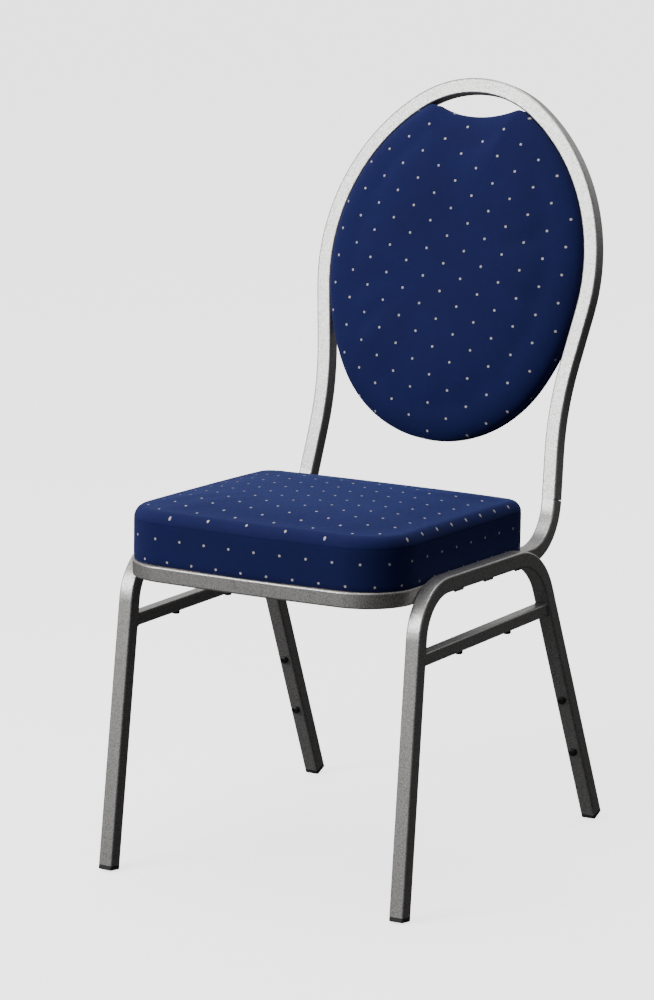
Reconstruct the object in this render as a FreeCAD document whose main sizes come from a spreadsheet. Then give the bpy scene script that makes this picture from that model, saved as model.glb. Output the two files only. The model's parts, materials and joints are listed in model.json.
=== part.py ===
import FreeCAD, Part
import math
import os
import Sketcher

# Stacking banquet chair: bent square-tube frame, round-shouldered hoop back, upholstered seat and
# back pad. Millimetres, +Z up, the floor at Z = 0, +X to the side, -Y to the front.
# Origin: the middle of the chair's outer box, on the floor.

doc = FreeCAD.newDocument("stacking_chair")
Vector = FreeCAD.Vector
Rotation = FreeCAD.Rotation
Placement = FreeCAD.Placement
X_AXIS = Vector(1, 0, 0)
Y_AXIS = Vector(0, 1, 0)
Z_AXIS = Vector(0, 0, 1)

# ---------------------------------------------------------------- driving sizes

SIZES = {
    # frame tube
    "tube": 20.0,
    "wall": 1.5,
    "corner": 2.5,
    # seat frame, in its own tilted plane, measured from the point above the origin
    "seat_half": 195.0,
    "seat_height": 388.0,
    "seat_tilt": 2.6,
    "seat_front": 302.0,
    "bow_angle": 2.2,
    "bow_radius": 2700.0,
    "front_corner": 58.0,
    "joint_at": 81.0,
    "crossbar_at": 35.0,
    # hoop back, in its own leaning plane, measured up from the corner of the bend
    "back_corner": 132.0,
    "back_bend": 78.0,
    "back_lean": 16.1,
    "hoop_height": 582.0,
    "arm_tilt": 4.8,
    "flare_tilt": 9.4,
    "waist_radius": 459.0,
    "shoulder_radius": 257.0,
    "crown_radius": 150.0,
    "crown_angle": 54.3,
    # leg frames
    "leg_rise": 8.0,
    "splay": 0.75,
    "front_foot": 295.0,
    "rear_foot": 207.0,
    "front_lean": 8.6,
    "rear_lean": 21.35,
    "front_bend": 64.0,
    "rear_bend": 86.0,
    # side stretchers
    "bar_width": 16.0,
    "bar_wall": 1.2,
    "bar_corner": 2.0,
    "bar_height": 308.0,
    "bar_tilt": 1.2,
    "bar_inset": 1.0,
    # foot caps
    "sole": 6.0,
    "sole_edge": 1.5,
    "plug": 15.0,
    "plug_gap": 0.2,
    # stacking pegs
    "peg_radius": 5.0,
    "peg_head": 5.0,
    "peg_edge": 1.5,
    "peg_stem": 2.5,
    "peg_gap": 0.1,
    "leg_peg_low": 100.0,
    "leg_peg_high": 176.0,
    "bar_peg_front": 139.0,
    "bar_peg_rear": 16.0,
    # seat
    "pad_gap": 0.5,
    "pad_height": 70.0,
    "pad_back": 56.0,
    "pad_back_corner": 25.0,
    "pad_edge": 20.0,
    "cover": 4.0,
    "board": 10.0,
    "tab_length": 26.0,
    "tab_width": 30.0,
    "tab": 3.0,
    "tab_front": 201.0,
    "tab_rear": 16.0,
    "screw_radius": 2.5,
    "screw_hole": 2.75,
    "screw_head_radius": 5.0,
    "screw_head": 3.5,
    "screw_reach": 8.0,
    "insert_radius": 4.0,
    "insert": 9.0,
    # back pad
    "back_gap": 3.0,
    "back_bottom": 121.0,
    "flank_radius": 280.0,
    "grip_depth": 33.0,
    "grip_radius": 149.0,
    "back_front": 28.0,
    "back_seam": 5.0,
    "back_edge": 16.0,
    "back_board": 7.0,
    "panel_depth": 8.0,
    "panel_skin": 3.0,
    "panel_rim": 6.0,
    "back_tab": 2.0,
    "back_tab_length": 30.0,
    "back_tab_width": 24.0,
    "back_tab_low": 320.0,
    "back_tab_high": 440.0,
    "back_screw_radius": 2.0,
    "back_screw_head": 4.5,
    "back_screw_height": 2.5,
    "back_screw_reach": 6.0,
}

DERIVED = {
    "half_tube": "tube / 2",
    "half_bore": "tube / 2 - wall",
    "bore_corner": "corner - wall",
    "rail_half": "seat_half - tube / 2",
    "rail_inner": "seat_half - tube",
    "bore_outer": "seat_half - wall",
    "bore_inner": "seat_half - tube + wall",
    "bow_rise": "bow_radius * (1 / cos(bow_angle) - 1)",
    "front_point": "seat_front - tube / 2 + bow_rise - joint_at",
    "front_side": "front_point - rail_half * tan(bow_angle)",
    # leg frame corners, seen from the side, in the frame of the front leg's own axis
    "leg_middle": "seat_height + leg_rise - half_tube / cos(seat_tilt)",
    # the leg frame leans outward; its inner face meets the seat frame below the rounded corner
    "weld_up": "half_tube - leg_rise - corner",
    "leg_across": "seat_half + half_tube / cos(splay) + weld_up * tan(splay)",
    "sole_flat": "half_tube - sole_edge",
    "sole_splay": "sole_flat * sin(splay) - leg_middle * (1 - cos(splay))",
    "sole_front": "sole_flat * sin(front_lean) + sole_edge * (1 - cos(front_lean)) + sole_splay",
    "sole_rear": "sole_flat * sin(rear_lean) + sole_edge * (1 - cos(rear_lean)) + sole_splay",
    "front_end": "sole_front + sole * cos(front_lean)",
    "rear_end": "sole_rear + sole * cos(rear_lean)",
    "front_knee": "(leg_middle + front_foot * tan(seat_tilt)) / (1 + tan(front_lean) * tan(seat_tilt))",
    "rear_knee": "(leg_middle - rear_foot * tan(seat_tilt)) / (1 - tan(rear_lean) * tan(seat_tilt))",
    "front_end_at": "tan(front_lean) * front_end - front_foot",
    "rear_end_at": "rear_foot - tan(rear_lean) * rear_end",
    "front_knee_at": "tan(front_lean) * front_knee - front_foot",
    "rear_knee_at": "rear_foot - tan(rear_lean) * rear_knee",
    "front_run": "(front_knee - front_end) / cos(front_lean)",
    "rail_run": "(rear_knee_at - front_knee_at) / cos(seat_tilt)",
    "rear_run": "(rear_knee - rear_end) / cos(rear_lean)",
    "knee_out": "rail_run * cos(front_lean - seat_tilt)",
    "knee_up": "front_run + rail_run * sin(front_lean - seat_tilt)",
    "toe_out": "knee_out + rear_run * sin(front_lean + rear_lean)",
    "toe_up": "knee_up - rear_run * cos(front_lean + rear_lean)",
    # stretcher ends, seen from the side: where the bar's top, bottom and bore meet the legs
    "bar_half": "bar_width / 2",
    "bar_bore": "bar_width / 2 - bar_wall",
    "bar_from": "tan(front_lean) * bar_height - front_foot + half_tube / cos(front_lean)",
    "bar_to": "rear_foot - tan(rear_lean) * bar_height - half_tube / cos(rear_lean)",
    "front_cut": "tan(front_lean - bar_tilt)",
    "rear_cut": "tan(rear_lean + bar_tilt)",
    "bar_start": "bar_from * cos(front_lean) / cos(front_lean - bar_tilt)",
    "bar_stop": "bar_to * cos(rear_lean) / cos(rear_lean + bar_tilt)",
    "start_top": "bar_start + bar_half * front_cut",
    "start_low": "bar_start - bar_half * front_cut",
    "start_bore_top": "bar_start + bar_bore * front_cut",
    "start_bore_low": "bar_start - bar_bore * front_cut",
    "stop_top": "bar_stop - bar_half * rear_cut",
    "stop_low": "bar_stop + bar_half * rear_cut",
    "stop_bore_top": "bar_stop - bar_bore * rear_cut",
    "stop_bore_low": "bar_stop + bar_bore * rear_cut",
    "bore_width": "2 * bar_bore",
    # foot plug and pegs
    "plug_half": "half_bore - plug_gap",
    "stem_length": "2 * wall",
    "crossbar_length": "2 * rail_inner",
    # seat outlines
    "pad_half": "seat_half - pad_gap",
    "pad_point": "seat_front + bow_rise",
    "pad_side": "pad_point - pad_half * tan(bow_angle)",
    "pad_corner": "front_corner + half_tube",
    "pad_bow": "bow_radius + half_tube",
    "board_half": "pad_half - cover",
    "board_point": "pad_point - cover / cos(bow_angle)",
    "board_side": "board_point - board_half * tan(bow_angle)",
    "board_back": "pad_back - cover",
    "board_corner": "pad_corner - cover",
    "board_bow": "pad_bow - cover",
    "board_back_corner": "pad_back_corner - cover",
    "tab_reach": "tab_length / 2",
    "tab_side": "tab_width / 2",
    "screw_at": "rail_inner - tab_length / 2",
}

sheet = doc.addObject("Spreadsheet::Sheet", "sizes")


def fill_sheet():
    row = 0
    for name, amount in SIZES.items():
        row += 1
        sheet.set(f"A{row}", name)
        sheet.set(f"B{row}", str(amount))
        sheet.setAlias(f"B{row}", name)
    for name, formula in DERIVED.items():
        row += 1
        sheet.set(f"A{row}", name)
        sheet.set(f"B{row}", "=" + formula)
        sheet.setAlias(f"B{row}", name)
    doc.recompute()


def size(name):
    """The amount a size name stands for; a leading minus sign turns it over."""
    if name.startswith("-"):
        return -float(sheet.get(name[1:]))
    return float(sheet.get(name))


def linked(name):
    """The same name as an expression that a property can be bound to."""
    if name.startswith("-"):
        return "-sizes." + name[1:]
    return "sizes." + name


fill_sheet()

# ---------------------------------------------------------------- sketches


def new_body(label):
    body = doc.addObject("PartDesign::Body", label)
    body.Label = label
    return body


def plane_of(body, role):
    for feature in body.Origin.OriginFeatures:
        if feature.Role == role:
            return feature
    raise ValueError(role)


def new_sketch(body, name, role):
    sketch = body.newObject("Sketcher::SketchObject", name)
    sketch.AttachmentSupport = [(plane_of(body, role), "")]
    sketch.MapMode = "FlatFace"
    return sketch


def pin_point(sketch, index, across, up):
    """Hold a sketch point at named distances from the sketch origin; "0" puts it on an axis."""
    if across == "0":
        sketch.addConstraint(Sketcher.Constraint("PointOnObject", index, 1, -2))
    else:
        held = sketch.addConstraint(Sketcher.Constraint("DistanceX", -1, 1, index, 1, size(across)))
        sketch.setExpression(f"Constraints[{held}]", linked(across))
    if up == "0":
        sketch.addConstraint(Sketcher.Constraint("PointOnObject", index, 1, -1))
    else:
        held = sketch.addConstraint(Sketcher.Constraint("DistanceY", -1, 1, index, 1, size(up)))
        sketch.setExpression(f"Constraints[{held}]", linked(up))


def place(name):
    return 0.0 if name == "0" else size(name)


def bend_arc(before, corner, after, radius):
    """The arc that rounds a corner, with the points where it starts and stops."""
    inward = (corner - before).normalize()
    outward = (after - corner).normalize()
    turn = inward.x * outward.y - inward.y * outward.x
    angle = inward.getAngle(outward)
    start = corner - inward * (radius * math.tan(angle / 2))
    stop = corner + outward * (radius * math.tan(angle / 2))
    side = Vector(-inward.y, inward.x, 0) * (1 if turn > 0 else -1)
    centre = start + side * radius
    circle = Part.Circle(centre, Z_AXIS, radius)
    first = math.atan2(start.y - centre.y, start.x - centre.x)
    last = math.atan2(stop.y - centre.y, stop.x - centre.x)
    if turn > 0:
        return Part.ArcOfCircle(circle, first, last), start, stop, 1
    return Part.ArcOfCircle(circle, last, first), start, stop, 2


def draw_path(sketch, corners, closed=False):
    """Straight lines through named corners (across, up, radius), rounded wherever a radius is named."""
    count = len(corners)
    points = [Vector(place(across), place(up), 0) for across, up, _ in corners]
    pins = []
    for point, (across, up, _) in zip(points, corners):
        index = sketch.addGeometry(Part.Point(point), True)
        pin_point(sketch, index, across, up)
        pins.append(index)
    bends = {}
    for index in range(count):
        if corners[index][2]:
            around = points[index - 1], points[index], points[(index + 1) % count]
            bends[index] = bend_arc(*around, size(corners[index][2]))
    arcs = {}
    lines = {}
    for index in range(count):
        if index in bends:
            arcs[index] = sketch.addGeometry(bends[index][0], False)
        if closed or index < count - 1:
            following = (index + 1) % count
            start = bends[index][2] if index in bends else points[index]
            stop = bends[following][1] if following in bends else points[following]
            lines[index] = sketch.addGeometry(Part.LineSegment(start, stop), False)
    for index, line in lines.items():
        following = (index + 1) % count
        for corner, end in ((index, 1), (following, 2)):
            if corner in bends:
                sketch.addConstraint(Sketcher.Constraint("PointOnObject", pins[corner], 1, line))
                start_end = bends[corner][3]
                arc_end = start_end if end == 2 else 3 - start_end
                sketch.addConstraint(Sketcher.Constraint("Tangent", line, end, arcs[corner], arc_end))
            else:
                sketch.addConstraint(Sketcher.Constraint("Coincident", line, end, pins[corner], 1))
    for index, arc in arcs.items():
        radius = corners[index][2]
        held = sketch.addConstraint(Sketcher.Constraint("Radius", arc, size(radius)))
        sketch.setExpression(f"Constraints[{held}]", linked(radius))
    return len(arcs) + len(lines)


def draw_box(sketch, left, right, low, high, radius):
    corners = [(left, low, radius), (right, low, radius), (right, high, radius), (left, high, radius)]
    draw_path(sketch, corners, closed=True)


# ---------------------------------------------------------------- features


def add_pipe(body, profile, path, edges):
    pipe = body.newObject("PartDesign::AdditivePipe", body.Label + "_tube")
    pipe.Profile = profile
    pipe.Spine = (path, [f"Edge{number}" for number in range(1, edges + 1)])
    return pipe


def add_pad(body, profile, length, midplane=False, turned=False):
    pad = body.newObject("PartDesign::Pad", profile.Name + "_pad")
    pad.Profile = profile
    pad.setExpression("Length", linked(length))
    pad.Midplane = midplane
    pad.Reversed = turned
    return pad


def add_pocket(body, profile, length, midplane=False, turned=False):
    pocket = body.newObject("PartDesign::Pocket", profile.Name + "_pocket")
    pocket.Profile = profile
    pocket.setExpression("Length", linked(length))
    pocket.Midplane = midplane
    pocket.Reversed = turned
    return pocket


def round_edges(body, radius, chosen):
    """Fillet the edges of the body's tip that the test picks out."""
    doc.recompute()
    base = body.Tip
    names = [f"Edge{number}" for number, edge in enumerate(base.Shape.Edges, start=1) if chosen(edge)]
    fillet = body.newObject("PartDesign::Fillet", body.Label + "_rounding")
    fillet.Base = (base, names)
    fillet.setExpression("Radius", linked(radius))
    return fillet


def drill(body, placement, radius):
    """A round hole through one tube wall, in world placement, along the placement's Z."""
    hole = body.newObject("PartDesign::SubtractiveCylinder", body.Label + "_hole")
    hole.Radius = radius
    hole.Height = 2 * size("wall")
    hole.Placement = body.Placement.inverse().multiply(placement)
    return hole


def turned_about_x(degrees):
    return Placement(Vector(), Rotation(X_AXIS, degrees))


def moved(across, back, up):
    return Placement(Vector(across, back, up), Rotation())


def seat_plane(across, back, up):
    """A place on the seat frame's tilted plane: back along it and up square to it."""
    plane = moved(0, 0, size("seat_height")).multiply(turned_about_x(-size("seat_tilt")))
    return plane.multiply(moved(across, back, up))


def hoop_plane():
    """The hoop's leaning plane, with its origin between the corners of the two lower bends."""
    corner = seat_plane(0, size("back_corner"), -size("half_tube")).Base
    return Placement(corner, Rotation(X_AXIS, -size("back_lean")))


def leg_side(hand, back, up, lean):
    """A place in a leg frame's plane, which leans out about the line of the seat rail; the place
    is turned by a lean seen from the side."""
    pivot = moved(hand * size("leg_across"), 0, size("leg_middle"))
    tilt = turned_about_x(-size("seat_tilt"))
    splay = Placement(Vector(), Rotation(Y_AXIS, -hand * size("splay")))
    spot = moved(0, back, up - size("leg_middle")).multiply(turned_about_x(-lean))
    return pivot.multiply(tilt).multiply(splay).multiply(tilt.inverse()).multiply(spot)


HANDS = (("left", -1), ("right", 1))

# ---------------------------------------------------------------- steel frame


def make_leg_frame(name, hand):
    """One square tube bent into an arch: front leg, top rail and rear leg."""
    body = new_body("leg_frame_" + name)
    profile = new_sketch(body, "leg_section_" + name, "XY_Plane")
    draw_box(profile, "-half_tube", "half_tube", "-half_tube", "half_tube", "corner")
    draw_box(profile, "-half_bore", "half_bore", "-half_bore", "half_bore", "bore_corner")
    path = new_sketch(body, "leg_path_" + name, "YZ_Plane")
    corners = [
        ("0", "0", None),
        ("0", "front_run", "front_bend"),
        ("knee_out", "knee_up", "rear_bend"),
        ("toe_out", "toe_up", None),
    ]
    edges = draw_path(path, corners)
    add_pipe(body, profile, path, edges)
    body.Placement = leg_side(hand, size("front_end_at"), size("front_end"), size("front_lean"))
    for height in ("leg_peg_low", "leg_peg_high"):
        drill(body, rear_peg_place(hand, size(height)), size("peg_stem") + size("peg_gap"))
    return body


def rear_peg_place(hand, height):
    """A peg's seat on the front face of a rear leg, with Z into the tube."""
    lean = math.radians(size("rear_lean"))
    back = size("rear_foot") - math.tan(lean) * height - size("half_tube") / math.cos(lean)
    return leg_side(hand, back, height, 90 - size("rear_lean"))


def bar_place(hand):
    spot = leg_side(hand, 0, size("bar_height"), size("bar_tilt"))
    return spot.multiply(moved(-hand * size("bar_inset"), 0, 0))


def bar_peg_place(hand, back):
    """A peg's seat under a stretcher, with Z up into the bar."""
    return bar_place(hand).multiply(moved(0, back, -size("bar_half")))


def make_stretcher(name, hand):
    """A square tube cut to lie between the front and rear leg of one side."""
    body = new_body("side_stretcher_" + name)
    outline = new_sketch(body, "bar_outline_" + name, "YZ_Plane")
    corners = [
        ("start_low", "-bar_half", None),
        ("stop_low", "-bar_half", None),
        ("stop_top", "bar_half", None),
        ("start_top", "bar_half", None),
    ]
    draw_path(outline, corners, closed=True)
    add_pad(body, outline, "bar_width", midplane=True)
    half = size("bar_half")

    def is_long_edge(edge):
        middle = edge.BoundBox.Center
        return abs(abs(middle.x) - half) < 0.01 and abs(abs(middle.z) - half) < 0.01

    round_edges(body, "bar_corner", is_long_edge)
    bore = new_sketch(body, "bar_bore_" + name, "YZ_Plane")
    corners = [
        ("start_bore_low", "-bar_bore", None),
        ("stop_bore_low", "-bar_bore", None),
        ("stop_bore_top", "bar_bore", None),
        ("start_bore_top", "bar_bore", None),
    ]
    draw_path(bore, corners, closed=True)
    add_pocket(body, bore, "bore_width", midplane=True)
    body.Placement = bar_place(hand)
    for back in ("bar_peg_front", "bar_peg_rear"):
        drill(body, bar_peg_place(hand, -size(back)), size("peg_stem") + size("peg_gap"))
    return body


def make_front_rail():
    """The bowed front of the seat frame with its two rounded corners and short side arms."""
    body = new_body("seat_front_rail")
    profile = new_sketch(body, "rail_section", "XZ_Plane")
    draw_box(profile, "-seat_half", "-rail_inner", "-half_tube", "half_tube", "corner")
    draw_box(profile, "-bore_outer", "-bore_inner", "-half_bore", "half_bore", "bore_corner")
    path = new_sketch(body, "rail_path", "XY_Plane")
    corners = [
        ("-rail_half", "0", None),
        ("-rail_half", "-front_side", "front_corner"),
        ("0", "-front_point", "bow_radius"),
        ("rail_half", "-front_side", "front_corner"),
        ("rail_half", "0", None),
    ]
    edges = draw_path(path, corners)
    add_pipe(body, profile, path, edges)
    body.Placement = seat_plane(0, -size("joint_at"), -size("half_tube"))
    return body


def make_crossbar():
    """A straight tube across the seat frame, behind the seat's screws."""
    body = new_body("seat_crossbar")
    profile = new_sketch(body, "crossbar_section", "YZ_Plane")
    draw_box(profile, "-half_tube", "half_tube", "-half_tube", "half_tube", "corner")
    draw_box(profile, "-half_bore", "half_bore", "-half_bore", "half_bore", "bore_corner")
    add_pad(body, profile, "crossbar_length", midplane=True)
    body.Placement = seat_plane(0, size("crossbar_at"), -size("half_tube"))
    return body


def square_section(side, corner, placement):
    """A square wire with rounded corners, centred on the placement and square to its Z."""
    half = side / 2
    flat = half - corner
    bulge = corner * math.sqrt(0.5)
    edges = []
    for turn in range(4):
        quarter = Rotation(Z_AXIS, 90 * turn)
        start = quarter.multVec(Vector(half, -flat, 0))
        stop = quarter.multVec(Vector(half, flat, 0))
        middle = quarter.multVec(Vector(flat + bulge, flat + bulge, 0))
        after = quarter.multVec(Vector(flat, half, 0))
        edges.append(Part.makeLine(start, stop))
        edges.append(Part.Arc(stop, middle, after).toShape())
    wire = Part.Wire(edges)
    wire.Placement = placement
    return wire


def swept(path, start, along, lateral, binormal, side, corner):
    """A square bar swept along a wire whose section stays square to a fixed direction."""
    frame = Rotation(lateral, along.cross(lateral), along, "ZXY")
    pipe = Part.BRepOffsetAPI.MakePipeShell(path)
    pipe.setBiNormalMode(binormal)
    pipe.add(square_section(side, corner, Placement(start, frame)), False, False)
    pipe.build()
    pipe.makeSolid()
    return pipe.shape()


def hoop_arc(centre, radius, degrees_from, degrees_to):
    ends = []
    for degrees in (degrees_from, (degrees_from + degrees_to) / 2, degrees_to):
        turn = math.radians(degrees)
        ends.append(centre + Vector(math.cos(turn), 0, math.sin(turn)) * radius)
    return Part.Arc(*ends).toShape()


def shoulder_centre():
    """Centre of the right shoulder arc in the hoop's plane."""
    reach = size("shoulder_radius") - size("crown_radius")
    turn = math.radians(size("crown_angle"))
    crown = size("hoop_height") - size("crown_radius")
    return Vector(-reach * math.cos(turn), 0, crown - reach * math.sin(turn))


def rounded_corner(before, corner, after, radius):
    """Arc through a corner in space, with its two ends."""
    inward = (corner - before).normalize()
    outward = (after - corner).normalize()
    angle = inward.getAngle(outward)
    reach = radius * math.tan(angle / 2)
    start = corner - inward * reach
    stop = corner + outward * reach
    bisector = (outward - inward).normalize()
    middle = corner + bisector * (radius / math.cos(angle / 2) - radius)
    return Part.Arc(start, middle, stop).toShape(), start, stop


def make_hoop():
    """One tube: side rail, bend, waisted arm, round hoop, and the same down the other side."""
    lean = math.radians(size("back_lean") - size("seat_tilt"))
    arm_tilt = math.radians(size("arm_tilt"))
    flare = math.radians(size("flare_tilt"))
    corner = Vector(size("rail_half"), 0, 0)
    rail = Vector(0, math.cos(lean), math.sin(lean))
    arm = Vector(-math.sin(arm_tilt), 0, math.cos(arm_tilt))
    rail_end = corner - rail * (size("back_corner") + size("joint_at"))

    shoulder = shoulder_centre()
    flare_stop = shoulder + Vector(math.cos(flare), 0, -math.sin(flare)) * size("shoulder_radius")
    flare_way = Vector(math.sin(flare), 0, math.cos(flare))
    # where the arm's line and the flare's line would cross, at the waist
    across = corner.x - flare_stop.x + math.tan(flare) * flare_stop.z
    waist_up = across / (math.tan(flare) + math.tan(arm_tilt))
    waist = Vector(corner.x - math.tan(arm_tilt) * waist_up, 0, waist_up)

    bend, bend_start, bend_stop = rounded_corner(rail_end, corner, waist, size("back_bend"))
    waist_arc, waist_start, waist_stop = rounded_corner(bend_stop, waist, flare_stop, size("waist_radius"))
    crown = Vector(0, 0, size("hoop_height") - size("crown_radius"))
    half = [
        Part.makeLine(bend_stop, waist_start),
        waist_arc,
        Part.makeLine(waist_stop, flare_stop),
        hoop_arc(shoulder, size("shoulder_radius"), -size("flare_tilt"), size("crown_angle")),
    ]
    top = hoop_arc(crown, size("crown_radius"), size("crown_angle"), 180 - size("crown_angle"))
    other_half = [edge.mirror(Vector(), X_AXIS) for edge in reversed(half)]
    hoop_path = Part.Wire(Part.sortEdges(half + [top] + other_half)[0])
    rail_path = Part.Wire([Part.makeLine(rail_end, bend_start), bend])

    tubes = []
    for side, rounding in ((size("tube"), size("corner")), (2 * size("half_bore"), size("bore_corner"))):
        across_arm = Vector(math.cos(arm_tilt), 0, math.sin(arm_tilt))
        hoop = swept(hoop_path, bend_stop, arm, across_arm, Y_AXIS, side, rounding)
        rail_bar = swept(rail_path, rail_end, rail, X_AXIS, X_AXIS, side, rounding)
        tubes.append(hoop.fuse([rail_bar, rail_bar.mirror(Vector(), X_AXIS)]))
    shape = tubes[0].cut(tubes[1]).removeSplitter()
    return add_shape("back_hoop", shape, hoop_plane())


def add_shape(label, shape, placement):
    """A document object for a shape drawn in its own frame, then placed."""
    piece = doc.addObject("Part::Feature", label)
    piece.Label = label
    piece.Shape = shape
    piece.Placement = placement
    return piece


# ---------------------------------------------------------------- foot caps and stacking pegs


def make_foot_cap(name, placement):
    """A plastic cap: a rounded sole under the tube and a plug up inside it."""
    body = new_body("foot_cap_" + name)
    sole = new_sketch(body, "sole_" + name, "XY_Plane")
    draw_box(sole, "-half_tube", "half_tube", "-half_tube", "half_tube", "corner")
    add_pad(body, sole, "sole", turned=True)
    low = -size("sole")

    def is_bottom_edge(edge):
        box = edge.BoundBox
        return abs(box.ZMin - low) < 0.01 and abs(box.ZMax - low) < 0.01

    round_edges(body, "sole_edge", is_bottom_edge)
    plug = new_sketch(body, "plug_" + name, "XY_Plane")
    draw_box(plug, "-plug_half", "plug_half", "-plug_half", "plug_half", "bore_corner")
    add_pad(body, plug, "plug")
    body.Placement = placement
    return body


def make_peg(name, placement):
    """A turned rubber stop: a domed head outside the tube and a stem through its wall."""
    body = new_body("stack_peg_" + name)
    half = new_sketch(body, "peg_half_" + name, "YZ_Plane")
    corners = [
        ("0", "stem_length", None),
        ("0", "-peg_head", None),
        ("peg_radius", "-peg_head", "peg_edge"),
        ("peg_radius", "0", None),
        ("peg_stem", "0", None),
        ("peg_stem", "stem_length", None),
    ]
    draw_path(half, corners, closed=True)
    turned = body.newObject("PartDesign::Revolution", "peg_turned_" + name)
    turned.Profile = half
    turned.ReferenceAxis = (half, ["V_Axis"])
    turned.Angle = 360
    body.Placement = placement
    return body


def make_feet_and_pegs():
    pieces = []
    for name, hand in HANDS:
        front = leg_side(hand, size("front_end_at"), size("front_end"), size("front_lean"))
        rear = leg_side(hand, size("rear_end_at"), size("rear_end"), -size("rear_lean"))
        pieces.append(make_foot_cap("front_" + name, front))
        pieces.append(make_foot_cap("rear_" + name, rear))
        pieces.append(make_peg("leg_low_" + name, rear_peg_place(hand, size("leg_peg_low"))))
        pieces.append(make_peg("leg_high_" + name, rear_peg_place(hand, size("leg_peg_high"))))
        pieces.append(make_peg("bar_front_" + name, bar_peg_place(hand, -size("bar_peg_front"))))
        pieces.append(make_peg("bar_rear_" + name, bar_peg_place(hand, -size("bar_peg_rear"))))
    return pieces


# ---------------------------------------------------------------- seat

SEAT_SCREWS = (("front", "tab_front"), ("rear", "tab_rear"))


def seat_screw_places():
    places = []
    for _, hand in HANDS:
        for _, back in SEAT_SCREWS:
            places.append(seat_plane(hand * size("screw_at"), -size(back), 0))
    return places


def make_seat_tab(name, placement):
    """A drilled steel plate that carries the seat board beside a rail."""
    body = new_body("seat_tab_" + name)
    plate = new_sketch(body, "tab_plate_" + name, "XY_Plane")
    draw_box(plate, "-tab_reach", "tab_reach", "-tab_side", "tab_side", None)
    add_pad(body, plate, "tab", turned=True)
    hole = body.newObject("PartDesign::SubtractiveCylinder", "tab_hole_" + name)
    hole.setExpression("Radius", linked("screw_hole"))
    hole.setExpression("Height", "2 * sizes.tab")
    hole.Placement = moved(0, 0, -1.5 * size("tab"))
    body.Placement = placement
    return body


def seat_outline(sketch, half, side, point, back, corner, bow, back_corner):
    corners = [
        ("-" + half, back, back_corner),
        ("-" + half, "-" + side, corner),
        ("0", "-" + point, bow),
        (half, "-" + side, corner),
        (half, back, back_corner),
    ]
    draw_path(sketch, corners, closed=True)


def make_seat_board():
    """Plywood base under the seat padding, bored for the four inserts."""
    body = new_body("seat_board")
    outline = new_sketch(body, "board_outline", "XY_Plane")
    names = ["board_half", "board_side", "board_point", "board_back"]
    seat_outline(outline, *names, "board_corner", "board_bow", "board_back_corner")
    add_pad(body, outline, "board")
    for _, hand in HANDS:
        for name, back in SEAT_SCREWS:
            hole = body.newObject("PartDesign::SubtractiveCylinder", f"board_hole_{name}")
            hole.setExpression("Radius", linked("insert_radius"))
            hole.setExpression("Height", linked("insert"))
            hole.Placement = moved(hand * size("screw_at"), -size(back), 0)
    body.Placement = seat_plane(0, 0, 0)
    return body


def make_seat_pad():
    """Foam and cover in one: a thick cushion wrapped down over the edge of the board."""
    body = new_body("seat_pad")
    outline = new_sketch(body, "pad_outline", "XY_Plane")
    names = ["pad_half", "pad_side", "pad_point", "pad_back"]
    seat_outline(outline, *names, "pad_corner", "pad_bow", "pad_back_corner")
    add_pad(body, outline, "pad_height")
    top = size("pad_height")
    round_edges(body, "pad_edge", lambda edge: edge.BoundBox.ZMin > top - 0.01)
    recess = new_sketch(body, "pad_recess", "XY_Plane")
    names = ["board_half", "board_side", "board_point", "board_back"]
    seat_outline(recess, *names, "board_corner", "board_bow", "board_back_corner")
    add_pocket(body, recess, "board", turned=True)
    body.Placement = seat_plane(0, 0, 0)
    return body


def turned_piece(outline):
    """A solid of revolution about Z from (radius, height) corners."""
    points = [Vector(radius, 0, height) for radius, height in outline]
    face = Part.Face(Part.makePolygon(points + points[:1]))
    return face.revolve(Vector(), Z_AXIS, 360)


def make_seat_fixings():
    """The four machine screws under the seat and the four threaded inserts they hold."""
    shank = size("screw_radius")
    screw = turned_piece([
        (0, -size("tab") - size("screw_head")),
        (size("screw_head_radius"), -size("tab") - size("screw_head")),
        (size("screw_head_radius"), -size("tab")),
        (shank, -size("tab")),
        (shank, size("screw_reach")),
        (0, size("screw_reach")),
    ])
    insert = turned_piece([
        (shank, 0),
        (size("insert_radius"), 0),
        (size("insert_radius"), size("insert")),
        (shank, size("insert")),
    ])
    places = seat_screw_places()
    screws = Part.makeCompound([screw.transformed(spot.toMatrix()) for spot in places])
    inserts = Part.makeCompound([insert.transformed(spot.toMatrix()) for spot in places])
    return [
        add_shape("seat_screws", screws, Placement()),
        add_shape("seat_inserts", inserts, Placement()),
    ]


def make_seat():
    pieces = [make_crossbar(), make_seat_board(), make_seat_pad()]
    for name, hand in HANDS:
        for where, back in SEAT_SCREWS:
            spot = seat_plane(hand * size("screw_at"), -size(back), 0)
            pieces.append(make_seat_tab(f"{where}_{name}", spot))
    return pieces + make_seat_fixings()


# ---------------------------------------------------------------- back pad


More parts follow.
